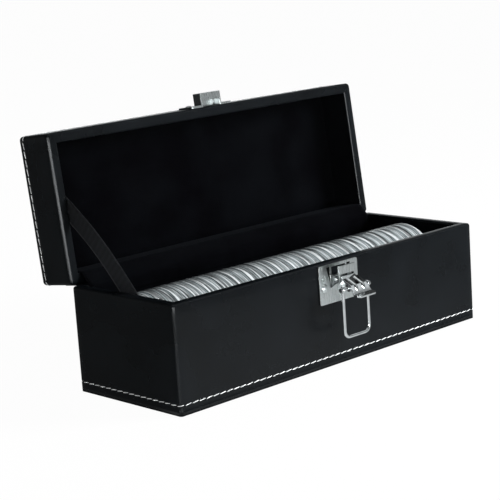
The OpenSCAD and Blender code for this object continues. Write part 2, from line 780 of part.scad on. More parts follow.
// One stamped sheet on the lid's front: a flat plate and the hollow hump that the bail hooks over
module keeper() {
  hump_side = hump_w / 2;
  hump_top = keeper_bottom + hump_h;
  hump_front_y = front_y - hump_reach;
  color(satin_nickel) opened() translate([latch_x, 0, 0]) difference() {
    union() {
      block([-keeper_w / 2, keeper_front_y, keeper_bottom],
            [keeper_w / 2, front_y, keeper_bottom + keeper_h]);
      block([-hump_side, hump_front_y, keeper_bottom], [hump_side, keeper_front_y, hump_top]);
    }
    block([-hump_side + hump_wall, hump_front_y + hump_wall, keeper_bottom + hump_wall],
          [hump_side - hump_wall, front_y + cut_past, hump_top - hump_wall]);
    block([-hump_side + hump_wall, hump_front_y + hump_panel_h, keeper_bottom - cut_past],
          [hump_side - hump_wall, front_y + cut_past, keeper_bottom + 2 * hump_wall]);
    translate([-latch_x, 0, 0]) keeper_rivet_shanks(rivet_hole_gap);
  }
}

// Two flat-headed rivets that hold the keeper on the lid's front board
module keeper_rivets() {
  color(satin_nickel) opened() for (x = [-keeper_rivet_x, keeper_rivet_x]) {
    rod_y(latch_x + x, keeper_front_y - keeper_rivet_head_h / 2, rivet_tail_y, keeper_rivet_z, rivet_shank_r);
    translate([latch_x + x, keeper_front_y, keeper_rivet_z]) rotate([90, 0, 0])
      dome(keeper_rivet_head_r, keeper_rivet_head_h);
  }
}

// The half section of a capsule half, from its axis outward, lying with its face down
module half_section(points_inside) {
  polygon(concat([
    [0, capsule_recess],
    [capsule_hollow_r - capsule_recess, capsule_recess],
    [capsule_hollow_r, 0],
    [capsule_r - capsule_bevel, 0],
    [capsule_r, capsule_bevel],
    [capsule_r, capsule_half_t - capsule_seam_bevel],
    [capsule_r - capsule_seam_bevel, capsule_half_t]
  ], points_inside, [[0, capsule_recess + capsule_face_t]]));
}

// Two snap-together clear halves, with the spigot of the left one inside the right one
module capsule(i) {
  hollow_floor = capsule_recess + capsule_face_t;
  socket_r = capsule_spigot_r + capsule_spigot_fit;
  socket_floor = capsule_half_t - capsule_spigot_h - capsule_spigot_fit;
  capsule_x = row_start_x + (i - 1) * capsule_pitch;
  color(clear_plastic) translate([capsule_x, 0, capsule_axis_z]) rotate([0, 90, 0]) {
    rotate_extrude($fn = large_round_fn) half_section([
      [capsule_spigot_r, capsule_half_t],
      [capsule_spigot_r, capsule_half_t + capsule_spigot_h],
      [capsule_hollow_r, capsule_half_t + capsule_spigot_h],
      [capsule_hollow_r, hollow_floor]
    ]);
    translate([0, 0, capsule_t]) mirror([0, 0, 1]) rotate_extrude($fn = large_round_fn) half_section([
      [socket_r, capsule_half_t],
      [socket_r, socket_floor],
      [capsule_hollow_r, socket_floor],
      [capsule_hollow_r, hollow_floor]
    ]);
  }
}

base_bottom_board();
base_front_board();
base_back_board();
base_left_board();
base_right_board();
base_cover();
base_underside();
base_wall_lining();
base_floor_lining();
foam_rail_front();
foam_rail_back();
latch_plate();
latch_rivets();
latch_pivot_pin();
latch_lever();
bail_pin();
bail();
hinge_strip();
hinge_cloth();
lid_stay();
lid_top_board();
lid_front_board();
lid_back_board();
lid_left_board();
lid_right_board();
lid_cover();
lid_wall_lining();
lid_top_lining();
keeper();
keeper_rivets();
for (i = [1:capsule_count]) {
  capsule(i);
}
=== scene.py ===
# Coin display case: covers, velvet, ribbon, capsules and latch round the fixed CAD frame
import math

import bmesh
import bpy
from mathutils import Matrix, Vector, noise


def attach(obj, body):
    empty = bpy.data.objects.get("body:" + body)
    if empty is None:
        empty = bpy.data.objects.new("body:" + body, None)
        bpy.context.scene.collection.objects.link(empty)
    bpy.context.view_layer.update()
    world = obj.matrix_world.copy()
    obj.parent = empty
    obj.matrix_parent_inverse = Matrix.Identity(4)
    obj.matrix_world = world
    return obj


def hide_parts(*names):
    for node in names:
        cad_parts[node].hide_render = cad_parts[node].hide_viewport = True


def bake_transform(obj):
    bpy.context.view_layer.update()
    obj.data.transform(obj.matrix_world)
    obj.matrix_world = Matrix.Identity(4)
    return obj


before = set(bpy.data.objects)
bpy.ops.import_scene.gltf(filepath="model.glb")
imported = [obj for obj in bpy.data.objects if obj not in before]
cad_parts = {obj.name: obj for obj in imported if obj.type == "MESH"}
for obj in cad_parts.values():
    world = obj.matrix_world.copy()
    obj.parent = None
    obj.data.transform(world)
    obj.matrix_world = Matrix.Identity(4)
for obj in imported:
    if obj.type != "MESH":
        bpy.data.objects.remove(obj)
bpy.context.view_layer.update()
print("frame loaded")

# Everything below is modelled in millimetres and made metres when a piece is finished
mm = 0.001
flush = 0.001  # places nearer than this count as one
caseSize = {
    "length": 172.5,
    "depth": 60.0,
    "baseTop": 42.6,
    "baseBottom": 0.6,
    "lidRim": 42.8,
    "lidTop": 62.4,
    "wall": 4.2,
    "hingeY": 30.0,
    "hingeZ": 42.7,
    "openAngle": 96.9,
}
halfLong, halfDeep = caseSize["length"] / 2, caseSize["depth"] / 2
hingePoint = Vector((0, caseSize["hingeY"], caseSize["hingeZ"]))
openLid = (
    Matrix.Translation(hingePoint)
    @ Matrix.Rotation(math.radians(-caseSize["openAngle"]), 4, "X")
    @ Matrix.Translation(-hingePoint)
)


def linear(hexColour, alpha=1.0):
    # sRGB hex to the linear values that shaders take
    parts = [int(hexColour[i : i + 2], 16) / 255 for i in (1, 3, 5)]
    return [c / 12.92 if c <= 0.04045 else ((c + 0.055) / 1.055) ** 2.4 for c in parts] + [alpha]


# A Mix node's sockets go by number: 0 is the factor, 2 and 3 the two numbers, 6 and 7 the two colours,
# and what comes out is 0 for numbers and 2 for colours. A ramp's stops are its places and colours.
def addNode(tree, kind, values=None, links=None, stops=(), **settings):
    node = tree.nodes.new(kind)
    for name, value in settings.items():
        setattr(node, name, value)
    for socket, value in (values or {}).items():
        node.inputs[socket].default_value = value
    for socket, source in (links or {}).items():
        tree.links.new(source, node.inputs[socket])
    for i, (at, colour) in enumerate(stops):
        stop = node.color_ramp.elements[i] if i < 2 else node.color_ramp.elements.new(at)
        stop.position = at
        stop.color = colour
    return node


def newMaterial(name, **values):
    # gives the material, its nodes, its shader and the coordinates that its patterns read
    finish = bpy.data.materials.new(name)
    finish.use_nodes = True
    tree = finish.node_tree
    shader = tree.nodes["Principled BSDF"]
    for socket, value in values.items():
        shader.inputs[socket.replace("_", " ")].default_value = value
    return finish, tree, shader, addNode(tree, "ShaderNodeTexCoord").outputs


def intoShader(tree, shader, **sources):
    for socket, source in sources.items():
        tree.links.new(source, shader.inputs[socket.replace("_", " ")])


def perMetre(spacing, repeat=1.0):
    # a pattern's scale for features this many millimetres apart, if they are one repeat apart at a scale of 1
    return repeat * 1000.0 / spacing


def twoTones(tree, factor, look, low=0.3, high=0.7):
    # a pattern's low places take the look's darker tone and its high places the lighter one
    stops = ((low, linear(look["tone"])), (high, linear(look["toneLight"])))
    return addNode(tree, "ShaderNodeValToRGB", links={"Fac": factor}, stops=stops).outputs["Color"]


# A wave pattern's bands are this far apart at a scale of 1, and diagonal ones along an axis twice as far
bandRepeat = math.tau / 20

# Leatherette: PU film cast on release paper and glued over thin padding.
# It is smooth and semi-gloss, with a faint pebble and a gloss that varies in soft patches.
leather = {
    "tone": "#06080a",
    "toneLight": "#0b0e11",
    "pebble": 0.9,  # real pores are 0.2 mm apart, drawn coarser so that they show
    "patch": 22.0,
    "roughness": {"To Min": 0.22, "To Max": 0.34},
    "bump": {"Strength": 0.1, "Distance": 0.06 * mm},
}
leatherFinish, tree, shader, spot = newMaterial("castPuLeatherette", IOR=1.5, Specular_IOR_Level=0.19)
patches = addNode(
    tree,
    "ShaderNodeTexNoise",
    {"Scale": perMetre(leather["patch"]), "Detail": 3.0},
    {"Vector": spot["Object"]},
)
pebble = addNode(
    tree,
    "ShaderNodeTexVoronoi",
    {"Scale": perMetre(leather["pebble"])},
    {"Vector": spot["Object"]},
    feature="SMOOTH_F1",
)
rub = addNode(tree, "ShaderNodeMapRange", leather["roughness"], {"Value": patches.outputs["Fac"]})
skinBump = addNode(tree, "ShaderNodeBump", leather["bump"], {"Height": pebble.outputs["Distance"]})
intoShader(
    tree,
    shader,
    Base_Color=twoTones(tree, patches.outputs["Fac"], leather),
    Roughness=rub.outputs["Result"],
    Normal=skinBump.outputs["Normal"],
)

# Velvet: woven cotton backing with a short cut pile, which drinks light and shows brushed patches.
velvet = {
    "tone": "#020203",
    "toneLight": "#060709",
    "sheen": "#8f96a3",
    "pile": 0.5,  # real tufts are 0.15 mm apart, drawn coarser so that they show
    "brushed": 18.0,
    "bump": {"Strength": 0.5, "Distance": 0.2 * mm},
}
velvetFinish, tree, shader, spot = newMaterial(
    "cutPileVelvet",
    Roughness=0.95,
    Sheen_Weight=0.015,
    Sheen_Roughness=0.45,
    Sheen_Tint=linear(velvet["sheen"]),
    Specular_IOR_Level=0.04,
)
brushed = addNode(
    tree,
    "ShaderNodeTexNoise",
    {"Scale": perMetre(velvet["brushed"]), "Detail": 4.0},
    {"Vector": spot["Object"]},
)
pile = addNode(
    tree, "ShaderNodeTexNoise", {"Scale": perMetre(velvet["pile"]), "Detail": 2.0}, {"Vector": spot["Object"]}
)
pileBump = addNode(tree, "ShaderNodeBump", velvet["bump"], {"Height": pile.outputs["Fac"]})
intoShader(
    tree,
    shader,
    Base_Color=twoTones(tree, brushed.outputs["Fac"], velvet, 0.35, 0.75),
    Normal=pileBump.outputs["Normal"],
)

# Ribbon: woven polyester satin, with cross ribs and a soft sheen along its length.
# Towards its end in the lid it is painted darker, as painted shade from the lid.
ribbonLook = {
    "tone": "#0c0d0f",
    "toneLight": "#141518",
    "paintedShade": "#030304",
    "rib": 2.513,  # real ribs are 0.4 mm apart, drawn coarser so that they show
    "bump": {"Strength": 0.5, "Distance": 0.1 * mm},
    "lidShadeFade": {"From Min": 58 * mm, "From Max": 28 * mm, "To Min": 0.12, "To Max": 1.0},
}
ribbonFinish, tree, shader, spot = newMaterial(
    "wovenSatinRibbon", Roughness=0.55, Sheen_Weight=0.06, Sheen_Roughness=0.35, Specular_IOR_Level=0.2
)
ribs = addNode(
    tree,
    "ShaderNodeTexWave",
    {"Scale": perMetre(ribbonLook["rib"], bandRepeat), "Distortion": 0.6, "Detail": 1.0},
    {"Vector": spot["UV"]},
    bands_direction="Y",
)
ribBump = addNode(tree, "ShaderNodeBump", ribbonLook["bump"], {"Height": ribs.outputs["Fac"]})
# painted shade: the ribbon is painted darker towards its end in the lid
upRibbon = addNode(tree, "ShaderNodeSeparateXYZ", links={"Vector": spot["UV"]})
lidShadeFade = addNode(tree, "ShaderNodeMapRange", ribbonLook["lidShadeFade"], {"Value": upRibbon.outputs["Y"]})
woven = addNode(
    tree,
    "ShaderNodeMix",
    {6: linear(ribbonLook["paintedShade"])},
    {0: lidShadeFade.outputs["Result"], 7: twoTones(tree, ribs.outputs["Fac"], ribbonLook)},
    data_type="RGBA",
)
intoShader(tree, shader, Base_Color=woven.outputs[2], Normal=ribBump.outputs["Normal"])

# Thread: twisted bonded polyester, white and dull.
# Its plies are too fine to show, so what shows is a tone that drifts a little from stitch to stitch.
threadLook = {
    "tone": "#d6d9da",
    "toneLight": "#f8fafa",
    "drift": 6.283,
    "bump": {"Strength": 0.5, "Distance": 0.1 * mm},
}
threadFinish, tree, shader, spot = newMaterial("twistedThread", Roughness=0.75, Sheen_Weight=0.15)
drift = addNode(
    tree,
    "ShaderNodeTexWave",
    {"Scale": perMetre(threadLook["drift"], 2 * bandRepeat), "Distortion": 1.0},
    {"Vector": spot["Object"]},
    bands_direction="DIAGONAL",
)
driftBump = addNode(tree, "ShaderNodeBump", threadLook["bump"], {"Height": drift.outputs["Fac"]})
intoShader(
    tree,
    shader,
    Base_Color=twoTones(tree, drift.outputs["Fac"], threadLook),
    Normal=driftBump.outputs["Normal"],
)

# Satin nickel: stamped steel, brushed up and down and then nickel plated, so its glints run sideways.
# Round the rivets and under the lever it is painted darker as painted shade, and its sides that face
# left and right are painted dark, also as painted shade.
nickelLook = {
    "tone": "#d4d9d8",
    "toneLight": "#eff3f2",
    "shadeTone": "#1d1f20",
    "stroke": 0.25,  # real strokes are 0.05 mm apart, drawn coarser so that they show
    "stretch": 0.04,
    "shadeReach": 1.2,
    "roughness": {"To Min": 0.22, "To Max": 0.36},
    "bump": {"Strength": 0.25, "Distance": 0.04 * mm},
    "sideShade": {"From Min": 0.6, "From Max": 0.9, "To Min": 1.0, "To Max": 0.12},
    "paintedShade": {"From Min": 0.4, "From Max": 0.88},
}
nickelFinish, tree, shader, spot = newMaterial("brushedNickelPlate", Metallic=1.0)
along = addNode(
    tree, "ShaderNodeMapping", {"Scale": (1, 1, nickelLook["stretch"])}, {"Vector": spot["Object"]}
)
strokes = addNode(
    tree,
    "ShaderNodeTexNoise",
    {"Scale": perMetre(nickelLook["stroke"]), "Detail": 3.0},
    {"Vector": along.outputs[0]},
)
strokeBump = addNode(tree, "ShaderNodeBump", nickelLook["bump"], {"Height": strokes.outputs["Fac"]})
dull = addNode(tree, "ShaderNodeMapRange", nickelLook["roughness"], {"Value": strokes.outputs["Fac"]})
# painted shade: the sides that face left and right are painted dark
facing = addNode(tree, "ShaderNodeSeparateXYZ", links={"Vector": spot["Normal"]})
sideways = addNode(tree, "ShaderNodeMath", links={0: facing.outputs["X"]}, operation="ABSOLUTE")
sideShade = addNode(tree, "ShaderNodeMapRange", nickelLook["sideShade"], {"Value": sideways.outputs[0]})
# painted shade: crevices round the rivets and under the lever are painted darker
openness = addNode(tree, "ShaderNodeAmbientOcclusion", {"Distance": nickelLook["shadeReach"] * mm}, samples=8)
paintedShade = addNode(tree, "ShaderNodeMapRange", nickelLook["paintedShade"], {"Value": openness.outputs["AO"]})
unshaded = addNode(
    tree,
    "ShaderNodeMath",
    links={0: paintedShade.outputs["Result"], 1: sideShade.outputs["Result"]},
    operation="MULTIPLY",
)
plated = addNode(
    tree,
    "ShaderNodeMix",
    {6: linear(nickelLook["shadeTone"])},
    {0: unshaded.outputs[0], 7: twoTones(tree, strokes.outputs["Fac"], nickelLook)},
    data_type="RGBA",
)
intoShader(
    tree,
    shader,
    Base_Color=plated.outputs[2],
    Roughness=dull.outputs["Result"],
    Normal=strokeBump.outputs["Normal"],
)

# Bright chrome: polished steel with chrome plating, mirror-like with faint polishing waves and smears.
chromeLook = {
    "tone": "#c9cbcc",
    "toneLight": "#dfe1e1",
    "wave": 2.5,
    "roughness": {"To Min": 0.05, "To Max": 0.12},
    "bump": {"Strength": 0.08, "Distance": 0.04 * mm},
}
chromeFinish, tree, shader, spot = newMaterial("polishedChromePlate", Metallic=1.0)
waves = addNode(
    tree,
    "ShaderNodeTexNoise",
    {"Scale": perMetre(chromeLook["wave"]), "Detail": 2.0},
    {"Vector": spot["Object"]},
)
waveBump = addNode(tree, "ShaderNodeBump", chromeLook["bump"], {"Height": waves.outputs["Fac"]})
smears = addNode(tree, "ShaderNodeMapRange", chromeLook["roughness"], {"Value": waves.outputs["Fac"]})
intoShader(
    tree,
    shader,
    Base_Color=twoTones(tree, waves.outputs["Fac"], chromeLook),
    Roughness=smears.outputs["Result"],
    Normal=waveBump.outputs["Normal"],
)

# Clear polystyrene: injection moulded and glassy, with a faint frost that varies as the melt flowed.
# Seen edge-on, the solid faces are painted bright as painted light, and the spigot, the seam
# and the hollow behind the rim are painted dark as painted shade.
# Each capsule's bands wander a little, as the halves are never quite square to each other.
# Fine flow lines run round each rim, and where a rim turns towards the lid it is painted darker as painted
# shade.
clearLook = {
    "rowStart": -81.3,
    "pitch": 7.8675,
    "flow": 6.0,
    "lean": 16.0,
    "wander": 0.3,  # of a pitch, in all
    "streak": 0.8,  # real flow lines are 0.2 mm apart, drawn coarser so that they show
    "stretch": 0.05,
    "roughness": {"To Min": 0.06, "To Max": 0.16},
    "bump": {"Strength": 0.1, "Distance": 0.05 * mm},
    "backShade": {"From Min": -0.3, "From Max": 0.12, "To Min": 1.0, "To Max": 0.4},
    "streakTone": {"From Min": 0.38, "From Max": 0.52, "To Min": 0.3, "To Max": 1.0},
    "bands": (
        (0.0, "#eef5f8"),
        (0.14, "#dfe8eb"),
        (0.17, "#2c3132"),
        (0.2, "#8d9596"),
        (0.27, "#b2bec2"),
        (0.33, "#6f7778"),
        (0.38, "#ecf3f6"),
        (0.46, "#d6e0e4"),
        (0.485, "#23282a"),
        (0.51, "#cfd9dd"),
        (0.57, "#eef5f8"),
        (0.63, "#7a8283"),
        (0.7, "#a2afb3"),
        (0.79, "#343a3b"),
        (0.82, "#e6eff2"),
        (0.97, "#f8fdff"),
    ),
}
clearFinish, tree, shader, spot = newMaterial("mouldedClearPolystyrene", IOR=1.59, Transmission_Weight=0.35)
flow = addNode(
    tree,
    "ShaderNodeTexNoise",
    {"Scale": perMetre(clearLook["flow"]), "Detail": 3.0},
    {"Vector": spot["Object"]},
)
frost = addNode(tree, "ShaderNodeMapRange", clearLook["roughness"], {"Value": flow.outputs["Fac"]})
flowBump = addNode(tree, "ShaderNodeBump", clearLook["bump"], {"Height": flow.outputs["Fac"]})
# painted light and shade: bright and dark bands are painted along each capsule
alongRow = addNode(tree, "ShaderNodeSeparateXYZ", links={"Vector": spot["Object"]})
fromStart = addNode(
    tree, "ShaderNodeMath", {1: clearLook["rowStart"] * mm}, {0: alongRow.outputs["X"]}, operation="SUBTRACT"
)
pitches = addNode(
    tree, "ShaderNodeMath", {1: clearLook["pitch"] * mm}, {0: fromStart.outputs[0]}, operation="DIVIDE"
)
lean = addNode(
    tree,
    "ShaderNodeTexNoise",
    {"Scale": perMetre(clearLook["lean"]), "Detail": 1.0},
    {"Vector": spot["Object"]},
)
wander = addNode(
    tree,
    "ShaderNodeMath",
    {1: clearLook["wander"], 2: -clearLook["wander"] / 2},
    {0: lean.outputs["Fac"]},
    operation="MULTIPLY_ADD",
)
wandered = addNode(
    tree, "ShaderNodeMath", links={0: pitches.outputs[0], 1: wander.outputs[0]}, operation="ADD"
)
bandShare = addNode(tree, "ShaderNodeMath", links={0: wandered.outputs[0]}, operation="FRACT")
bands = addNode(
    tree,
    "ShaderNodeValToRGB",
    links={"Fac": bandShare.outputs[0]},
    stops=[(at, linear(tone)) for at, tone in clearLook["bands"]],
)
# painted shade: faces turned back towards the lid are painted darker
turned = addNode(tree, "ShaderNodeSeparateXYZ", links={"Vector": spot["Normal"]})
backShade = addNode(tree, "ShaderNodeMapRange", clearLook["backShade"], {"Value": turned.outputs["Y"]})
roundRim = addNode(
    tree,
    "ShaderNodeMapping",
    {"Scale": (1, clearLook["stretch"], clearLook["stretch"])},
    {"Vector": spot["Object"]},
)
streaks = addNode(
    tree,
    "ShaderNodeTexNoise",
    {"Scale": perMetre(clearLook["streak"]), "Detail": 3.0},
    {"Vector": roundRim.outputs[0]},
)
streakTone = addNode(tree, "ShaderNodeMapRange", clearLook["streakTone"], {"Value": streaks.outputs["Fac"]})
streakAndBackShade = addNode(
    tree,
    "ShaderNodeMath",
    links={0: streakTone.outputs["Result"], 1: backShade.outputs["Result"]},
    operation="MULTIPLY",
)
streakedAndShaded = addNode(
    tree,
    "ShaderNodeMix",
    {0: 1.0},
    {6: bands.outputs["Color"], 7: streakAndBackShade.outputs[0]},
    data_type="RGBA",
    blend_type="MULTIPLY",
)
intoShader(
    tree,
    shader,
    Base_Color=streakedAndShaded.outputs[2],
    Roughness=frost.outputs["Result"],
    Normal=flowBump.outputs["Normal"],
)

# Fibreboard: pressed wood fibre, sawn and left raw under the covers.
boardLook = {
    "tone": "#7d6243",
    "toneLight": "#a98a63",
    "fibre": 1.2,  # real fibres are 0.3 mm apart, drawn coarser so that they show
    "bump": {"Strength": 0.3, "Distance": 0.1 * mm},
}
boardFinish, tree, shader, spot = newMaterial("sawnFibreboard", Roughness=0.9)
fibre = addNode(
    tree,
    "ShaderNodeTexNoise",
    {"Scale": perMetre(boardLook["fibre"]), "Detail": 6.0},
    {"Vector": spot["Object"]},
)
fibreBump = addNode(tree, "ShaderNodeBump", boardLook["bump"], {"Height": fibre.outputs["Fac"]})
intoShader(
    tree,
    shader,
    Base_Color=twoTones(tree, fibre.outputs["Fac"], boardLook),
    Normal=fibreBump.outputs["Normal"],
)
print("materials made")


def slicePlanes(bm, normal, places):
    for at in places:
        bmesh.ops.bisect_plane(
            bm,
            geom=bm.verts[:] + bm.edges[:] + bm.faces[:],
            dist=0.0001,
            plane_co=Vector(normal) * at,
            plane_no=normal,
        )


def roundEdges(bm, edges, width, segments):
    bmesh.ops.bevel(
        bm,
        geom=edges,
        offset=width,
        offset_type="OFFSET",
        segments=segments,
        profile=0.5,
        affect="EDGES",
        clamp_overlap=False,
        material=-1,
    )


def bevelSharp(bm, width, segments=2, sharpest=30):
    sharp = [e for e in bm.edges if e.is_manifold and e.calc_face_angle(0) > math.radians(sharpest)]
    roundEdges(bm, sharp, width, segments)


def nodeCopy(node, flat=1.0):
    # a copy of a CAD node's triangles, merged into clean faces
    bm = bmesh.new()
    bm.from_mesh(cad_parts[node].data)
    bmesh.ops.scale(bm, vec=(1 / mm, 1 / mm, 1 / mm), verts=bm.verts)
    bmesh.ops.remove_doubles(bm, verts=bm.verts, dist=0.002)
    bmesh.ops.dissolve_limit(bm, angle_limit=math.radians(flat), verts=bm.verts, edges=bm.edges)
    return bm


def finishPiece(bm, name, finish, body, standsFor=(), sharp=40):
    bmesh.ops.scale(bm, vec=(mm, mm, mm), verts=bm.verts)
    mesh = bpy.data.meshes.new(name)
    bm.to_mesh(mesh)
    bm.free()
    mesh.shade_smooth()
    mesh.set_sharp_from_angle(angle=math.radians(sharp))
    mesh.materials.append(finish)
    piece = bpy.data.objects.new(name, mesh)
    bpy.context.scene.collection.objects.link(piece)
    if standsFor:
        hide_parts(*standsFor)
    if body:
        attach(piece, body)
    return piece


def giveThickness(piece, thickness, offset=-1.0):
    # even offset is left off, because it draws spikes where three rounded edges meet
    skin = piece.modifiers.new("thickness", "SOLIDIFY")
    skin.thickness = thickness * mm
    skin.offset = offset


# Covers: each is shaped with its rim up and its far face at z = 0, and then put in its place
coverLook = {
    "base": {"sideRound": 1.2, "stitchUp": 3.6, "foldUp": 1.0},
    "lid": {"sideRound": 1.6, "stitchUp": 3.0, "foldUp": 1.1},
    "thickness": 0.7,
    "overRim": 0.9,
    "rimOuterRound": 1.1,
    "rimInnerRound": 0.5,
    "lidTopRound": 1.5,
    "roundSegments": 4,
    "crown": 0.22,
    "topCrown": 1.3,  # times the crown
    "groove": 0.14,
    "grooveHalf": 0.5,
    "foldProud": 0.2,
    "foldHalf": 0.25,
    "gridX": 7.5,
    "gridY": 6.5,
    "levels": 8,
}
partHigh = {
    "base": caseSize["baseTop"] - caseSize["baseBottom"],
    "lid": caseSize["lidTop"] - caseSize["lidRim"],
}
partPlace = {
    "base": Matrix.Translation((0, 0, caseSize["baseBottom"])),
    "lid": openLid @ Matrix.Translation((0, 0, caseSize["lidTop"])) @ Matrix.Rotation(math.pi, 4, "X"),
}


def crownAt(u, w):
    # how far a face swells, at -1 to 1 across it and -1 to 1 up it
    return coverLook["crown"] * max(0.0, 1 - u**4) * max(0.0, 1 - w**4)


def wrappedBox(body):
    # the skin round the walls and over the rim, open below on the base and closed on the lid
    height = partHigh[body]
    bm = bmesh.new()
    bmesh.ops.create_cube(bm, size=1)
    bmesh.ops.scale(bm, vec=(caseSize["length"], caseSize["depth"], height), verts=bm.verts)
    bmesh.ops.translate(bm, vec=(0, 0, height / 2), verts=bm.verts)
    top = max(bm.faces, key=lambda f: f.calc_center_median().z)
    bmesh.ops.inset_region(bm, faces=[top], thickness=caseSize["wall"], use_even_offset=True)
    pocket = bmesh.ops.extrude_face_region(bm, geom=[top])
    low = [g for g in pocket["geom"] if isinstance(g, bmesh.types.BMVert)]
    bmesh.ops.translate(bm, vec=(0, 0, -coverLook["overRim"]), verts=low)
    inner = [f for f in bm.faces if abs(f.normal.z) > 0.9 and f.calc_center_median().z > height / 2]
    inner = [f for f in inner if f.calc_center_median().xy.length < 1]
    bmesh.ops.delete(bm, geom=inner, context="FACES_ONLY")
    if body == "base":
        under = [f for f in bm.faces if all(abs(v.co.z) < flush for v in f.verts)]
        bmesh.ops.delete(bm, geom=under, context="FACES_ONLY")
    return bm


def isCorner(edge, height, atRim, atOutside):
    # whether a level, sharp edge lies at the rim or at the far face, outside or inside the wall
    first, second = (v.co for v in edge.verts)
    middle = (first + second) / 2
    outside = max(abs(middle.x) / halfLong, abs(middle.y) / halfDeep) > 0.97
    sharp = len(edge.link_faces) == 2 and edge.calc_face_angle(0) > math.radians(60)
    level = abs(first.z - second.z) < flush
    return level and sharp and outside == atOutside and (middle.z > height / 2) == atRim


def roundCover(bm, body):
    height, segments = partHigh[body], coverLook["roundSegments"]
    upright = []
    for e in bm.edges:
        first, second = (v.co for v in e.verts)
        if abs(first.z - second.z) > height / 2 and abs(first.x) > halfLong - 0.01:
            upright.append(e)
    roundEdges(bm, upright, coverLook[body]["sideRound"], segments)
    for width, atRim, atOutside in (
        (coverLook["rimOuterRound"], True, True),
        (coverLook["rimInnerRound"], True, False),
        (coverLook["lidTopRound"], False, True),
    ):
        edges = [e for e in bm.edges if isCorner(e, height, atRim, atOutside)]
        if edges:
            roundEdges(bm, edges, width, segments)


def sliceCover(bm, body):
    # a grid fine enough to swell, with closer lines beside the seam and the fold line
    for normal, half, step in (
        ((1, 0, 0), halfLong, coverLook["gridX"]),
        ((0, 1, 0), halfDeep, coverLook["gridY"]),
    ):
        reach = int(half / step)
        slicePlanes(bm, normal, [i * step for i in range(-reach, reach + 1)])
    height, levels, look = partHigh[body], coverLook["levels"], coverLook[body]
    cuts = [i * height / levels for i in range(1, levels)]
    cuts = [at for at in cuts if abs(at - look["stitchUp"]) > 1]
    for middle, half in (
        (look["stitchUp"], coverLook["grooveHalf"]),
        (look["foldUp"], coverLook["foldHalf"]),
    ):
        cuts += [middle - half, middle, middle + half]
    slicePlanes(bm, (0, 0, 1), cuts)


def swellCover(bm, body):
    # the faces swell in their middle, and less so along the seam; where the depth to draw in is more than
    # the swell, as near the corners and along the fold line, the skin stands out by the difference
    height, look = partHigh[body], coverLook[body]
    for v in bm.verts:
        u, side, w = v.co.x / halfLong, v.co.y / halfDeep, (v.co.z - height / 2) / (height / 2)
        inward = coverLook["groove"] if abs(v.co.z - look["stitchUp"]) < flush else 0
        inward = coverLook["foldProud"] if abs(v.co.z - look["foldUp"]) < flush else inward
        if abs(side) > 0.9999:
            v.co.y += math.copysign(crownAt(u, w) - inward, v.co.y)
        elif abs(u) > 0.9999:
            v.co.x += math.copysign(crownAt(side, w) - inward, v.co.x)
        elif body == "lid" and v.co.z < flush:
            v.co.z -= crownAt(u, side) * coverLook["topCrown"]


for body in ("base", "lid"):
    skin = wrappedBox(body)
    roundCover(skin, body)
    sliceCover(skin, body)
    swellCover(skin, body)
    bmesh.ops.transform(skin, matrix=partPlace[body], verts=skin.verts)
    cover = finishPiece(skin, f"{body}Cover", leatherFinish, body, [f"{body}_cover"])
    giveThickness(cover, coverLook["thickness"])

stitchLook = {"pitch": 3.5, "long": 1.58, "wide": 0.21, "deep": 0.24, "slant": 7.0, "proud": 0.05}


def roundPath(radius, at):
    # the point on the case's outline this far round it from the middle of a corner, the outward direction
    # there, and how far along its side it lies, from -1 to 1
    arc = radius * math.pi / 2
    sides = [caseSize[k] - 2 * radius for k in ("length", "depth", "length", "depth")]
    corners = [(1, -1), (1, 1), (-1, 1), (-1, -1)]
    at = (at - arc / 2) % (sum(sides) + 4 * arc)
    for i, side in enumerate(sides):
        facing = math.radians(-90 + 90 * i)
        out = Vector((math.cos(facing), math.sin(facing)))
        onward = Vector((-out.y, out.x))
        far = halfDeep if i % 2 == 0 else halfLong
        if at <= side:
            return out * far + onward * (at - side / 2), out, (at - side / 2) / (side / 2 + radius)
        at -= side
        if at <= arc:
            facing += at / radius
            out = Vector((math.cos(facing), math.sin(facing)))
            centre = Vector((corners[i][0] * (halfLong - radius), corners[i][1] * (halfDeep - radius)))
            return centre + out * radius, out, 1.0
        at -= arc


def stitchRow(body):
    # slanted dashes of thread right round the case, one bent over each corner, half sunk in the skin
    height, up, radius = partHigh[body], coverLook[body]["stitchUp"], coverLook[body]["sideRound"]
    slope = math.tan(math.radians(stitchLook["slant"]))
    bm = bmesh.new()
    w = (up - height / 2) / (height / 2)
    start = 0.0
    for side in (caseSize["length"], caseSize["depth"]) * 2:
        span = side - 2 * radius + radius * math.pi / 2
        steps = round(span / stitchLook["pitch"])
        for i in range(steps):
            dash = bmesh.ops.create_uvsphere(bm, u_segments=8, v_segments=8, radius=1)["verts"]
            for v in dash:
                # the thread keeps its thickness nearly to its ends
                full = math.sqrt((1 + v.co.z**2) * (1 + v.co.z**4))
                along = v.co.z * stitchLook["long"]
                across = v.co.x * full * stitchLook["wide"] + along * slope
                point, out, share = roundPath(radius, start + span * i / steps + along)
                seat = crownAt(share, w) - coverLook["groove"] + stitchLook["proud"]
                off = seat + v.co.y * full * stitchLook["deep"]
                v.co = Vector((point.x + out.x * off, point.y + out.y * off, up + across))
        start += span
    bmesh.ops.recalc_face_normals(bm, faces=bm.faces)
    return bm


for body in ("base", "lid"):
    stitches = stitchRow(body)
    bmesh.ops.transform(stitches, matrix=partPlace[body], verts=stitches.verts)
    finishPiece(stitches, f"{body}Stitching", threadFinish, body)

undersideLook = {"round": 0.25}
underside = nodeCopy("base_underside")
bevelSharp(underside, undersideLook["round"])
finishPiece(underside, "undersideSheet", leatherFinish, "base", ["base_underside"])
print("covers and stitching made")

# Linings: velvet over a thin wadding, so that it swells a little between its edges. The rails are foam.
liningLook = {"round": 0.15, "step": 9.0, "swell": 0.12, "lump": 14.0}
railLook = {"round": 0.9, "step": 5.0, "swell": 0.25, "lump": 9.0, "fill": 0.9}


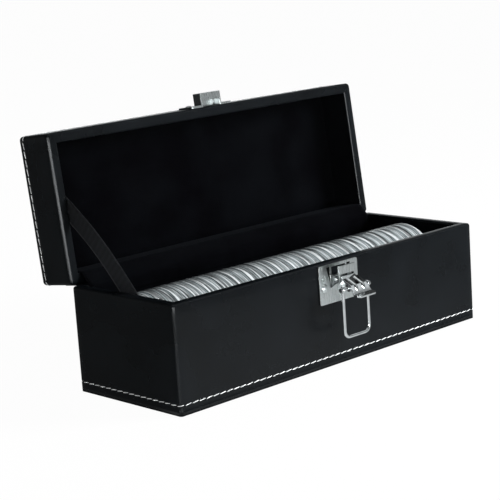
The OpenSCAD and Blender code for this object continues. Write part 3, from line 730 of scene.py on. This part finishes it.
def softened(bm, look):
    bevelSharp(bm, look["round"], segments=3)
    low = Vector([min(v.co[i] for v in bm.verts) for i in range(3)])
    high = Vector([max(v.co[i] for v in bm.verts) for i in range(3)])
    for i, normal in enumerate(((1, 0, 0), (0, 1, 0), (0, 0, 1))):
        span = high[i] - low[i]
        count = int(span / look["step"])
        slicePlanes(bm, normal, [low[i] + (k + 0.5) * span / max(count, 1) for k in range(count)])
    bm.normal_update()
    # it only swells, so that no crack opens towards the boards
    moves = [(v, v.normal * look["swell"] * abs(noise.noise(v.co / look["lump"]))) for v in bm.verts]
    for v, move in moves:
        v.co += move
    return bm


for node, name, body in (
    ("base_wall_lining", "baseWallLining", "base"),
    ("base_floor_lining", "baseFloorLining", "base"),
    ("lid_wall_lining", "lidWallLining", "lid"),
    ("lid_top_lining", "lidTopLining", "lid"),
):
    finishPiece(softened(nodeCopy(node), liningLook), name, velvetFinish, body, [node], sharp=60)
for node, name in (("foam_rail_front", "foamRailFront"), ("foam_rail_back", "foamRailBack")):
    rail = softened(nodeCopy(node), railLook)
    piece = finishPiece(rail, name, velvetFinish, "base", [node], sharp=60)
print("linings and rails made")


# The ribbon and the hinge cloths are flat grids, each bent along a path in Y and Z
def pathLength(points):
    return sum((b - a).length for a, b in zip(points, points[1:]))


def alongPath(points, share):
    # the point at a share of the path's length, and the direction there
    at = share * pathLength(points)
    for a, b in zip(points, points[1:]):
        step = (b - a).length
        if at <= step or b is points[-1]:
            return a.lerp(b, min(1.0, at / step)), (b - a).normalized()
        at -= step


def curvePoints(control, count):
    made = []
    for i in range(count + 1):
        t = i / count
        parts = ((1 - t) ** 3, 3 * t * (1 - t) ** 2, 3 * t * t * (1 - t), t**3)
        made.append(sum((c * p for c, p in zip(control, parts)), Vector((0, 0))))
    return made


def lidPoint(reach, depth):
    # a point of the open lid, this far from the hinge along its rim and this deep into it
    angle = math.radians(caseSize["openAngle"])
    return Vector(
        (
            caseSize["hingeY"] - reach * math.cos(angle) + depth * math.sin(angle),
            caseSize["hingeZ"] + reach * math.sin(angle) + depth * math.cos(angle),
        )
    )


def clothStrip(across, along, place):
    # across and along are a size and a count of squares, and place turns two shares from 0 to 1 into a point
    bm = bmesh.new()
    bmesh.ops.create_grid(bm, x_segments=across[1], y_segments=along[1], size=0.5)
    layer = bm.loops.layers.uv.new("strip")  # in the strip's own metres
    for face in bm.faces:
        for loop in face.loops:
            co = loop.vert.co
            loop[layer].uv = ((co.x + 0.5) * across[0] * mm, (co.y + 0.5) * along[0] * mm)
    for v in bm.verts:
        v.co = place(v.co.x + 0.5, v.co.y + 0.5)
    return bm


ribbonShape = {
    "width": 8.0,
    "thickness": 0.35,
    "wallX": -81.8,
    "bulge": 0.2,
    "fixed": 0.2,  # the share at each end that doesn't bulge
    "low": Vector((-5.0, 36.5)),
    "lowPull": Vector((12.86, 15.32)),
    "highPull": Vector((17.32, 10.0)),
    "high": lidPoint(35.0, 7.4),
    "curveSteps": 40,
    "squares": (9, 61),
}
ribbonLow, ribbonHigh = ribbonShape["low"], ribbonShape["high"]
ribbonLine = curvePoints(
    [ribbonLow, ribbonLow + ribbonShape["lowPull"], ribbonHigh - ribbonShape["highPull"], ribbonHigh],
    ribbonShape["curveSteps"],
)
ribbonLength = pathLength(ribbonLine)


def ribbonPlace(across, along):
    centre, direction = alongPath(ribbonLine, along)
    sideways = Vector((-direction.y, direction.x)) * (across - 0.5) * ribbonShape["width"]
    loose = min(1.0, max(0.0, (along - ribbonShape["fixed"]) / (1 - 2 * ribbonShape["fixed"])))
    out = ribbonShape["bulge"] * math.sin(math.pi * loose) ** 2
    point = centre + sideways
    return Vector((ribbonShape["wallX"] + out, point.x, point.y))


acrossCount, alongCount = ribbonShape["squares"]
stay = clothStrip((ribbonShape["width"], acrossCount), (ribbonLength, alongCount), ribbonPlace)
ribbon = finishPiece(stay, "ribbonStay", ribbonFinish, None, ["lid_stay"])
giveThickness(ribbon, ribbonShape["thickness"], 0.0)
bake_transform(ribbon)
print(f"the ribbon is {ribbonShape['width']:.0f} by {ribbonLength:.1f} mm")

hingeInside = {
    "long": 162.1,
    "thickness": 0.3,
    "legs": 6.0,
    "off": 4.45,
    "straightTo": 0.5,
    "cornerIn": 0.4,
    "cornerUp": 0.35,
    "ripple": 0.15,
    "rippleLong": 9.0,
    "squares": (82, 25),
    "rests": ["baseWallLining", "lidWallLining"],
}
insideY = caseSize["hingeY"] - hingeInside["off"]
insideCorner = [
    Vector((insideY, caseSize["baseTop"] - hingeInside["legs"])),
    Vector((insideY, caseSize["baseTop"] - hingeInside["straightTo"])),
    Vector((insideY + hingeInside["cornerIn"], caseSize["baseTop"] + hingeInside["cornerUp"])),
    lidPoint(hingeInside["off"] - hingeInside["cornerIn"], -hingeInside["cornerUp"]),
    lidPoint(hingeInside["off"], hingeInside["straightTo"]),
    lidPoint(hingeInside["off"], hingeInside["legs"]),
]


def insidePlace(across, along):
    centre, direction = alongPath(insideCorner, along)
    x = (across - 0.5) * hingeInside["long"]
    lift = hingeInside["ripple"] * noise.noise(Vector((x / hingeInside["rippleLong"], along * 2, 0)))
    point = centre + Vector((-direction.y, direction.x)) * abs(lift)
    return Vector((x, point.x, point.y))


hingeOutside = {
    "long": 166.5,
    "thickness": 0.45,
    "legs": 8.0,
    "off": 0.25,
    "straightTo": 1.2,
    "cornerOut": 0.6,
    "cornerDown": 0.65,
    "squares": (42, 33),
    "rests": ["baseCover", "lidCover"],
}
outsideY = caseSize["hingeY"] + hingeOutside["off"]
outsideCorner = [
    Vector((outsideY, caseSize["hingeZ"] - hingeOutside["legs"])),
    Vector((outsideY, caseSize["hingeZ"] - hingeOutside["straightTo"])),
    Vector((caseSize["hingeY"] + hingeOutside["cornerOut"], caseSize["hingeZ"] - hingeOutside["cornerDown"])),
    lidPoint(-hingeOutside["off"], hingeOutside["straightTo"]),
    lidPoint(-hingeOutside["off"], hingeOutside["legs"]),
]


def outsidePlace(across, along):
    centre, direction = alongPath(outsideCorner, along)
    return Vector(((across - 0.5) * hingeOutside["long"], centre.x, centre.y))


def hingeFold(name, node, finish, look, corner, place):
    # a strip glued down by its two legs, on the base and on the lid, and bent between them
    length = pathLength(corner)
    grid = clothStrip((look["long"], look["squares"][0]), (length, look["squares"][1]), place)
    piece = finishPiece(grid, name, finish, None, [node], sharp=80)
    giveThickness(piece, look["thickness"], 0.0)
    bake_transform(piece)


hingeFold("hingeCloth", "hinge_cloth", velvetFinish, hingeInside, insideCorner, insidePlace)
hingeFold(
    "hingeStrip", "hinge_strip", leatherFinish, hingeOutside, outsideCorner, outsidePlace
)
print("ribbon and hinge cloths made")

capsuleLook = {"count": 20, "round": 0.12}
for i in range(1, capsuleLook["count"] + 1):
    node = f"capsule_{i:02d}"
    shell = nodeCopy(node)
    bevelSharp(shell, capsuleLook["round"])
    finishPiece(shell, f"coinCapsule{i:02d}", clearFinish, node, [node], sharp=30)
print("capsules made")

# Latch and keeper
latchX = 0.65
leverLook = {"pivot": Vector((-33.9, 36.0)), "angle": 27.0, "face": 1.9, "bend": 30.0}
ribLook = {
    "x": 2.0,
    "radius": 1.0,
    "proud": 0.5,
    "start": 3.2,
    "step": 0.3,
    "flatSteps": 15,
    "bendSteps": 9,
    "tip": 0.35,
    "taper": 1.3,
}
ringLook = {"x": 8.75, "z": 36.4, "y": -30.8, "radius": 0.95, "tube": 0.2}
bailLook = {
    "x": 7.1,
    "y": -39.35,
    "z": 32.819,
    "long": 19.4,
    "corner": 2.6,
    "wire": 0.7,
    "eye": 1.05,
    "eyeTube": 0.4,
    "legStep": 1.5,
    "legSteps": 9,
    "cornerStep": 10,  # degrees
}


def sweptRod(bm, path, radii, across, sides=16):
    # a round rod along a flat path, with across square to the path's plane
    frames = []
    for i, point in enumerate(path):
        onward = (path[min(i + 1, len(path) - 1)] - path[max(i - 1, 0)]).normalized()
        side = across.cross(onward)
        turn = Matrix((side, across, onward)).transposed().to_4x4()
        frames.append(Matrix.Translation(point) @ turn @ Matrix.Scale(radii[i], 4))
    ring = bmesh.ops.create_circle(bm, cap_ends=True, segments=sides, radius=1)["verts"]
    bmesh.ops.transform(bm, matrix=frames[0], verts=ring)
    edges = list({e for v in ring for e in v.link_edges})
    for before, after in zip(frames, frames[1:]):
        grown = bmesh.ops.extrude_edge_only(bm, edges=edges)["geom"]
        edges = [g for g in grown if isinstance(g, bmesh.types.BMEdge)]
        ring = [g for g in grown if isinstance(g, bmesh.types.BMVert)]
        bmesh.ops.transform(bm, matrix=after @ before.inverted(), verts=ring)
    bmesh.ops.edgeloop_fill(bm, edges=edges)


def latheRing(bm, centre, axis, radius, tubeAlong, tubeOut, steps=32):
    # a ring of oval section round an axis
    axis = Vector(axis)
    out = axis.orthogonal().normalized()
    turn = Matrix((axis, out, axis.cross(out))).transposed().to_4x4()
    section = bmesh.ops.create_circle(bm, segments=12, radius=1)["verts"]
    oval = Matrix.Diagonal((tubeAlong, tubeOut, 1, 1))
    place = Matrix.Translation(Vector(centre) + out * radius) @ turn @ oval
    bmesh.ops.transform(bm, matrix=place, verts=section)
    bmesh.ops.spin(
        bm,
        geom=section + list({e for v in section for e in v.link_edges}),
        cent=centre,
        axis=axis,
        angle=math.tau,
        steps=steps,
        use_merge=True,
    )


def leverPoint(x, s, n):
    # s runs down the lever from its pivot, and n stands out of it
    angle = math.radians(leverLook["angle"])
    y = leverLook["pivot"].x - s * math.cos(angle) - n * math.sin(angle)
    z = leverLook["pivot"].y - s * math.sin(angle) + n * math.cos(angle)
    return Vector((latchX + x, y, z))


def leverRibs(bm):
    # two embossed ribs that run down the flat and on over the bend, sunk in the sheet but for their crowns
    bend = math.radians(leverLook["bend"])
    depth = leverLook["face"] + ribLook["proud"] - ribLook["radius"]
    run = [(ribLook["start"] + ribLook["step"] * i, depth) for i in range(ribLook["flatSteps"])]
    last = run[-1]
    for k in range(1, ribLook["bendSteps"] + 1):
        on = ribLook["step"] * k
        run.append((last[0] + on * math.cos(bend), last[1] - on * math.sin(bend)))
    count = len(run) - 1
    radii = []
    for i in range(count + 1):
        fromEnd = math.sqrt(min(i, count - i) / count)
        radii.append(ribLook["radius"] * min(1.0, ribLook["tip"] + ribLook["taper"] * fromEnd))
    for side in (-1, 1):
        sweptRod(bm, [leverPoint(side * ribLook["x"], s, n) for s, n in run], radii, Vector((1, 0, 0)))


def stampedRings(bm):
    for side in (-1, 1):
        centre = (latchX + side * ringLook["x"], ringLook["y"], ringLook["z"])
        latheRing(bm, centre, (0, 1, 0), ringLook["radius"], ringLook["tube"], ringLook["tube"])


def wireBail():
    # one leg and its corner, the same mirrored for the other leg, and the two eyes
    bm = bmesh.new()
    halfX, corner = bailLook["x"], bailLook["corner"]
    low = bailLook["z"] - bailLook["long"]
    legTop = bailLook["z"] - bailLook["eye"]
    flat = [(-halfX, legTop - bailLook["legStep"] * k) for k in range(bailLook["legSteps"])]
    for degrees in range(0, 91, bailLook["cornerStep"]):
        turn = math.radians(degrees)
        flat.append((-halfX + corner * (1 - math.cos(turn)), low + corner * (1 - math.sin(turn))))
    flat += [(-x, z) for x, z in reversed(flat)]
    path = [Vector((latchX + x, bailLook["y"], z)) for x, z in flat]
    sweptRod(bm, path, [bailLook["wire"]] * len(path), Vector((0, 1, 0)))
    for side in (-1, 1):
        centre = (latchX + side * halfX, bailLook["y"], bailLook["z"])
        latheRing(bm, centre, (1, 0, 0), bailLook["eye"], bailLook["wire"], bailLook["eyeTube"])
    bmesh.ops.recalc_face_normals(bm, faces=bm.faces)
    return bm


# for each node: its piece's name, edge rounding, finish, body, slot and added detail
metalLook = {
    "latch_plate": ("latchPlate", 0.06, nickelFinish, "base", "satin_nickel", stampedRings),
    "keeper": ("keeperPlate", 0.2, nickelFinish, "lid", "satin_nickel", None),
    "latch_lever": ("latchLever", 0.12, chromeFinish, "lever", "bright_chrome", leverRibs),
    "bail_pin": ("bailPin", 0.12, chromeFinish, "bail_pin", "bright_chrome", None),
    "latch_pivot_pin": ("pivotPin", 0.12, chromeFinish, "base", "bright_chrome", None),
    "latch_rivets": ("latchRivets", 0.06, nickelFinish, "base", "satin_nickel", None),
    "keeper_rivets": ("keeperRivets", 0.06, nickelFinish, "lid", "satin_nickel", None),
}
for node, (name, width, finish, body, slot, addDetail) in metalLook.items():
    metal = nodeCopy(node, 0.5)
    bevelSharp(metal, width, segments=3, sharpest=40)
    if addDetail:
        addDetail(metal)
        bmesh.ops.recalc_face_normals(metal, faces=metal.faces)
    piece = finishPiece(metal, name, finish, body, [node], sharp=35)
    # large faces stay flat to the eye, and only the bevels round
    flatFaces = piece.modifiers.new("flatFaces", "WEIGHTED_NORMAL")
    flatFaces.keep_sharp = True
finishPiece(wireBail(), "wireBail", chromeFinish, "bail", ["bail"])
print("latch made")

# the boards under the covers keep their CAD shape and get their finish
for node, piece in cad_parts.items():
    if node.endswith("_board"):
        piece.data.materials.clear()
        piece.data.materials.append(boardFinish)

# Floor: painted, and white to the eye. Gloss mirrors a glow painted on it instead: a painted shadow beside
# and behind the case, painted light in front of it, and a glowing strip far off at the left front in place of
# a strip lamp.
coolGlow = (0.94, 0.98, 1, 1)
stripGlow = 24.0
floorLook = {
    "tone": "#f2f2f2",
    "size": 14.0,  # metres, as are the places below
    "white": 0.97,
    "paintedShadowBehind": {"From Min": -0.045, "From Max": -0.01, "To Min": 0.84, "To Max": 0.14},
    "fading": {"From Min": -0.02, "From Max": 0.16, "To Min": 1.0, "To Max": 0.42},
    "farOff": {"From Min": -1.2, "From Max": -1.6},
    "leftward": {"From Min": 0.2, "From Max": -0.2, "To Max": stripGlow},
}
floorBm = bmesh.new()
bmesh.ops.create_grid(floorBm, x_segments=1, y_segments=1, size=floorLook["size"] / 2)
floorMesh = bpy.data.meshes.new("floor")
floorBm.to_mesh(floorMesh)
floorBm.free()
floor = bpy.data.objects.new("floor", floorMesh)
bpy.context.scene.collection.objects.link(floor)
floorFinish, tree, shader, spot = newMaterial(
    "paintedFloor", Roughness=0.9, Specular_IOR_Level=0.1, Base_Color=linear(floorLook["tone"])
)
rays = addNode(tree, "ShaderNodeLightPath").outputs
glow = addNode(tree, "ShaderNodeEmission", {"Color": (1, 1, 1, 1), "Strength": 1.0})
share = addNode(
    tree, "ShaderNodeMath", {1: floorLook["white"]}, {0: rays["Is Camera Ray"]}, operation="MULTIPLY"
)
whitened = addNode(
    tree,
    "ShaderNodeMixShader",
    links={0: share.outputs[0], 1: shader.outputs["BSDF"], 2: glow.outputs["Emission"]},
)
# painted shadow and light, seen only in gloss: dark beside and behind the case, bright in front, and a
# glowing strip at the far left front
spread = addNode(tree, "ShaderNodeSeparateXYZ", links={"Vector": spot["Object"]})
paintedShadowBehind = addNode(
    tree,
    "ShaderNodeMapRange",
    floorLook["paintedShadowBehind"],
    {"Value": spread.outputs["Y"]},
    interpolation_type="SMOOTHSTEP",
)
fading = addNode(tree, "ShaderNodeMapRange", floorLook["fading"], {"Value": spread.outputs["X"]})
farOff = addNode(tree, "ShaderNodeMapRange", floorLook["farOff"], {"Value": spread.outputs["Y"]})
leftward = addNode(tree, "ShaderNodeMapRange", floorLook["leftward"], {"Value": spread.outputs["X"]})
faded = addNode(
    tree,
    "ShaderNodeMath",
    links={0: paintedShadowBehind.outputs["Result"], 1: fading.outputs["Result"]},
    operation="MULTIPLY",
)
lit = addNode(
    tree,
    "ShaderNodeMath",
    links={0: farOff.outputs["Result"], 1: leftward.outputs["Result"], 2: faded.outputs[0]},
    operation="MULTIPLY_ADD",
)
dim = addNode(tree, "ShaderNodeEmission", {"Color": coolGlow}, {"Strength": lit.outputs[0]})
mixed = addNode(
    tree,
    "ShaderNodeMixShader",
    links={0: rays["Is Glossy Ray"], 1: whitened.outputs[0], 2: dim.outputs["Emission"]},
)
tree.links.new(mixed.outputs[0], tree.nodes["Material Output"].inputs["Surface"])
floorMesh.materials.append(floorFinish)

# Room: gloss mirrors a dark studio with bright panels low behind, low at the left front and overhead.
# Each quarter's stops are a height, from 0 at the horizon to 1 overhead, and how bright it is there.
roomLook = {
    "light": {"To Min": 0.35, "To Max": 1.0},
    "toFront": {"From Min": 0.12, "From Max": -0.12},
    "toLeft": {"From Min": 0.1, "From Max": -0.1},
    "lowStrip": {"From Min": 0.08, "From Max": 0.12, "To Min": stripGlow, "To Max": 0.0},
    "rightBehind": (
        (0.0, 1.6),
        (0.06, 1.5),
        (0.12, 0.7),
        (0.2, 0.32),
        (0.3, 0.12),
        (0.36, 0.05),
        (0.82, 0.06),
        (0.93, 0.95),
    ),
    "leftBehind": ((0.0, 0.25), (0.2, 0.2), (0.36, 0.06), (0.82, 0.06), (0.93, 0.95)),
    "rightFront": (
        (0.0, 0.35),
        (0.2, 0.3),
        (0.3, 0.1),
        (0.5, 0.12),
        (0.58, 0.85),
        (0.7, 0.8),
        (0.78, 0.12),
        (0.93, 0.95),
    ),
    "leftFront": ((0.0, 0.9), (0.16, 0.9), (0.26, 0.2), (0.4, 0.06), (0.82, 0.08), (0.93, 0.95)),
}
world = bpy.data.worlds.new("studio")
bpy.context.scene.world = world
world.use_nodes = True
tree = world.node_tree
sky = tree.nodes["Background"]
rays = addNode(tree, "ShaderNodeLightPath").outputs
seen = addNode(
    tree,
    "ShaderNodeMath",
    links={0: rays["Is Camera Ray"], 1: rays["Is Transmission Ray"]},
    operation="MAXIMUM",
)
level = addNode(tree, "ShaderNodeMapRange", roomLook["light"], {"Value": seen.outputs[0]})
outward = addNode(tree, "ShaderNodeTexCoord").outputs["Generated"]
heading = addNode(tree, "ShaderNodeSeparateXYZ", links={"Vector": outward}).outputs
toFront = addNode(tree, "ShaderNodeMapRange", roomLook["toFront"], {"Value": heading["Y"]})
toLeft = addNode(tree, "ShaderNodeMapRange", roomLook["toLeft"], {"Value": heading["X"]})
halves = {}
for part in ("Front", "Behind"):
    quarters = []
    for side in ("right", "left"):
        stops = [(at, (value, value, value, 1)) for at, value in roomLook[side + part]]
        ramp = addNode(tree, "ShaderNodeValToRGB", links={"Fac": heading["Z"]}, stops=stops)
        quarters.append(ramp.outputs["Color"])
    halves[part] = addNode(
        tree,
        "ShaderNodeMix",
        links={0: toLeft.outputs["Result"], 2: quarters[0], 3: quarters[1]},
        data_type="FLOAT",
    )
around = addNode(
    tree,
    "ShaderNodeMix",
    links={0: toFront.outputs["Result"], 2: halves["Behind"].outputs[0], 3: halves["Front"].outputs[0]},
    data_type="FLOAT",
)
lowStrip = addNode(tree, "ShaderNodeMapRange", roomLook["lowStrip"], {"Value": heading["Z"]})
leftFront = addNode(
    tree,
    "ShaderNodeMath",
    links={0: toFront.outputs["Result"], 1: toLeft.outputs["Result"]},
    operation="MULTIPLY",
)
withStrip = addNode(
    tree,
    "ShaderNodeMath",
    links={0: leftFront.outputs[0], 1: lowStrip.outputs["Result"], 2: around.outputs[0]},
    operation="MULTIPLY_ADD",
)
strength = addNode(
    tree,
    "ShaderNodeMix",
    links={0: rays["Is Glossy Ray"], 2: level.outputs["Result"], 3: withStrip.outputs[0]},
    data_type="FLOAT",
)
tint = addNode(
    tree, "ShaderNodeMix", {6: (1, 1, 1, 1), 7: coolGlow}, {0: rays["Is Glossy Ray"]}, data_type="RGBA"
)
tree.links.new(strength.outputs[0], sky.inputs["Strength"])
tree.links.new(tint.outputs[2], sky.inputs["Color"])

lamps = {
    "keyLamp": {"at": (0.42, -0.46, 0.3), "size": 0.3, "power": 9.0},
    "fillLamp": {"at": (-0.9, -0.6, 0.7), "size": 0.8, "power": 2.0},
    "backLamp": {"at": (0.3, 0.9, 1.0), "size": 0.8, "power": 1.0},
}
lampAim = Vector((0, 0, 0.04))
for name, lamp in lamps.items():
    data = bpy.data.lights.new(name, "AREA")
    data.size = lamp["size"]
    data.energy = lamp["power"]
    holder = bpy.data.objects.new(name, data)
    holder.location = lamp["at"]
    holder.visible_glossy = False
    aim = lampAim - Vector(lamp["at"])
    holder.rotation_euler = aim.to_track_quat("-Z", "Y").to_euler()
    bpy.context.scene.collection.objects.link(holder)

viewpoint = {
    "at": (-0.44561, -0.45738, 0.17415),
    "azimuth": 43.07,
    "down": 11.46,
    "roll": -3.88,
    "lens": 113.604,
    "sensor": 36.0,
    "clip": (0.02, 20.0),
}
azimuth, down, roll = (math.radians(viewpoint[k]) for k in ("azimuth", "down", "roll"))
ahead = Vector((math.sin(azimuth) * math.cos(down), math.cos(azimuth) * math.cos(down), -math.sin(down)))
rightward = Vector((math.cos(azimuth), -math.sin(azimuth), 0))
upward = rightward.cross(ahead)
cameraRight = math.cos(roll) * rightward + math.sin(roll) * upward
cameraUp = -math.sin(roll) * rightward + math.cos(roll) * upward
cameraTurn = Matrix((cameraRight, cameraUp, -ahead)).transposed().to_4x4()
cameraData = bpy.data.cameras.new("camera")
cameraData.lens = viewpoint["lens"]
cameraData.sensor_width = viewpoint["sensor"]
cameraData.clip_start, cameraData.clip_end = viewpoint["clip"]
camera = bpy.data.objects.new("camera", cameraData)
camera.matrix_world = Matrix.Translation(viewpoint["at"]) @ cameraTurn
bpy.context.scene.collection.objects.link(camera)
bpy.context.scene.camera = camera
bpy.context.scene.view_settings.view_transform = "Standard"
print("stage, light and camera set")
